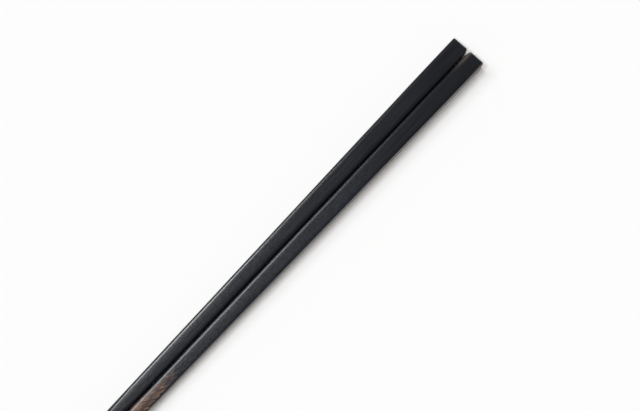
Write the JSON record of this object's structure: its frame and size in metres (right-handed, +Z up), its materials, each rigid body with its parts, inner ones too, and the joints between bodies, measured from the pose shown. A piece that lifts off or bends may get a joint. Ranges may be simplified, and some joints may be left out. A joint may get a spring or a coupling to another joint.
{
  "type": "chopsticks",
  "caption": "Chopsticks in black-finished bamboo, lying side by side: square handles with softened edges that narrow to round brown tips.",
  "frame": {"origin": "on the table, under the middle of the pair's bounding box", "axes": "+X from the tips to the handle ends, +Y towards the left stick, +Z up"},
  "size_m": [0.2402, 0.015, 0.0073],
  "materials": {
    "black_finished_bamboo": "satin black coating over brown bamboo, fading to bare brown bamboo at the tips"
  },
  "bodies": {
    "root": {"left_chopstick": "black_finished_bamboo", "right_chopstick": "black_finished_bamboo"}
  },
  "joints": []
}
